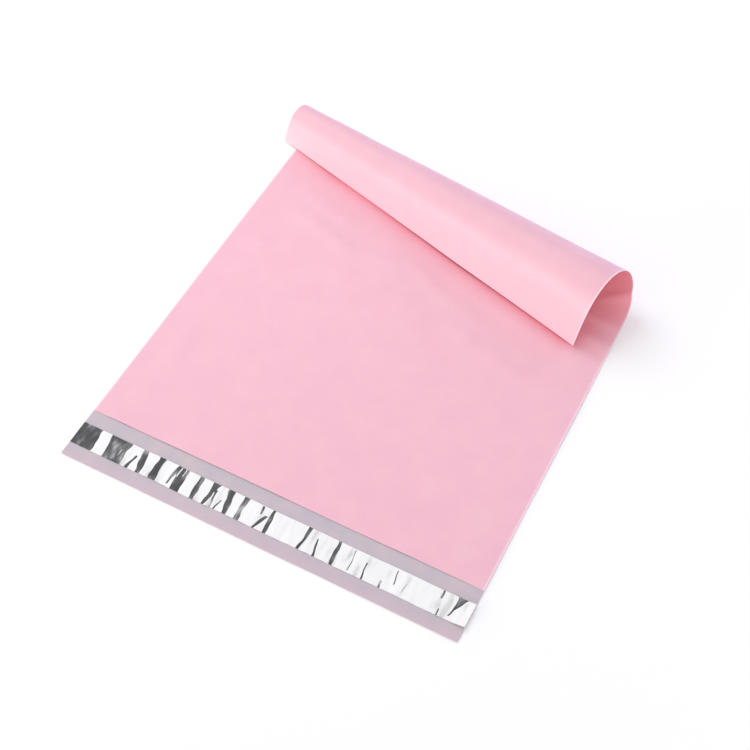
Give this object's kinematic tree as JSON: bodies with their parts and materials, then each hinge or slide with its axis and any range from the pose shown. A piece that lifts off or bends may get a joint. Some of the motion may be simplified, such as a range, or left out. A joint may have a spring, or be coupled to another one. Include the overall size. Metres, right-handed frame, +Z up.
{
  "type": "poly mailer bag",
  "caption": "Flat film mailing bag with side-sealed pocket, closing flap with adhesive strip and release liner, its sealed end rolled back in a loose conical curl.",
  "frame": {"origin": "centre of the bounding box's footprint, on the surface that the bag lies on", "axes": "+X across the bag, +Y along it from the flap's free edge to the curled sealed end, +Z up"},
  "size_m": [0.5034, 0.575, 0.0806],
  "materials": {
    "film_pink": "satin-gloss polyethylene film, pink outside, mauve-grey inside",
    "adhesive_clear": "clear pressure-sensitive adhesive",
    "liner_white": "white release film, dark where it has wetted out on the adhesive"
  },
  "bodies": {
    "root": {"bag_body": "film_pink", "adhesive_strip": "adhesive_clear", "release_liner": "liner_white"}
  },
  "joints": []
}
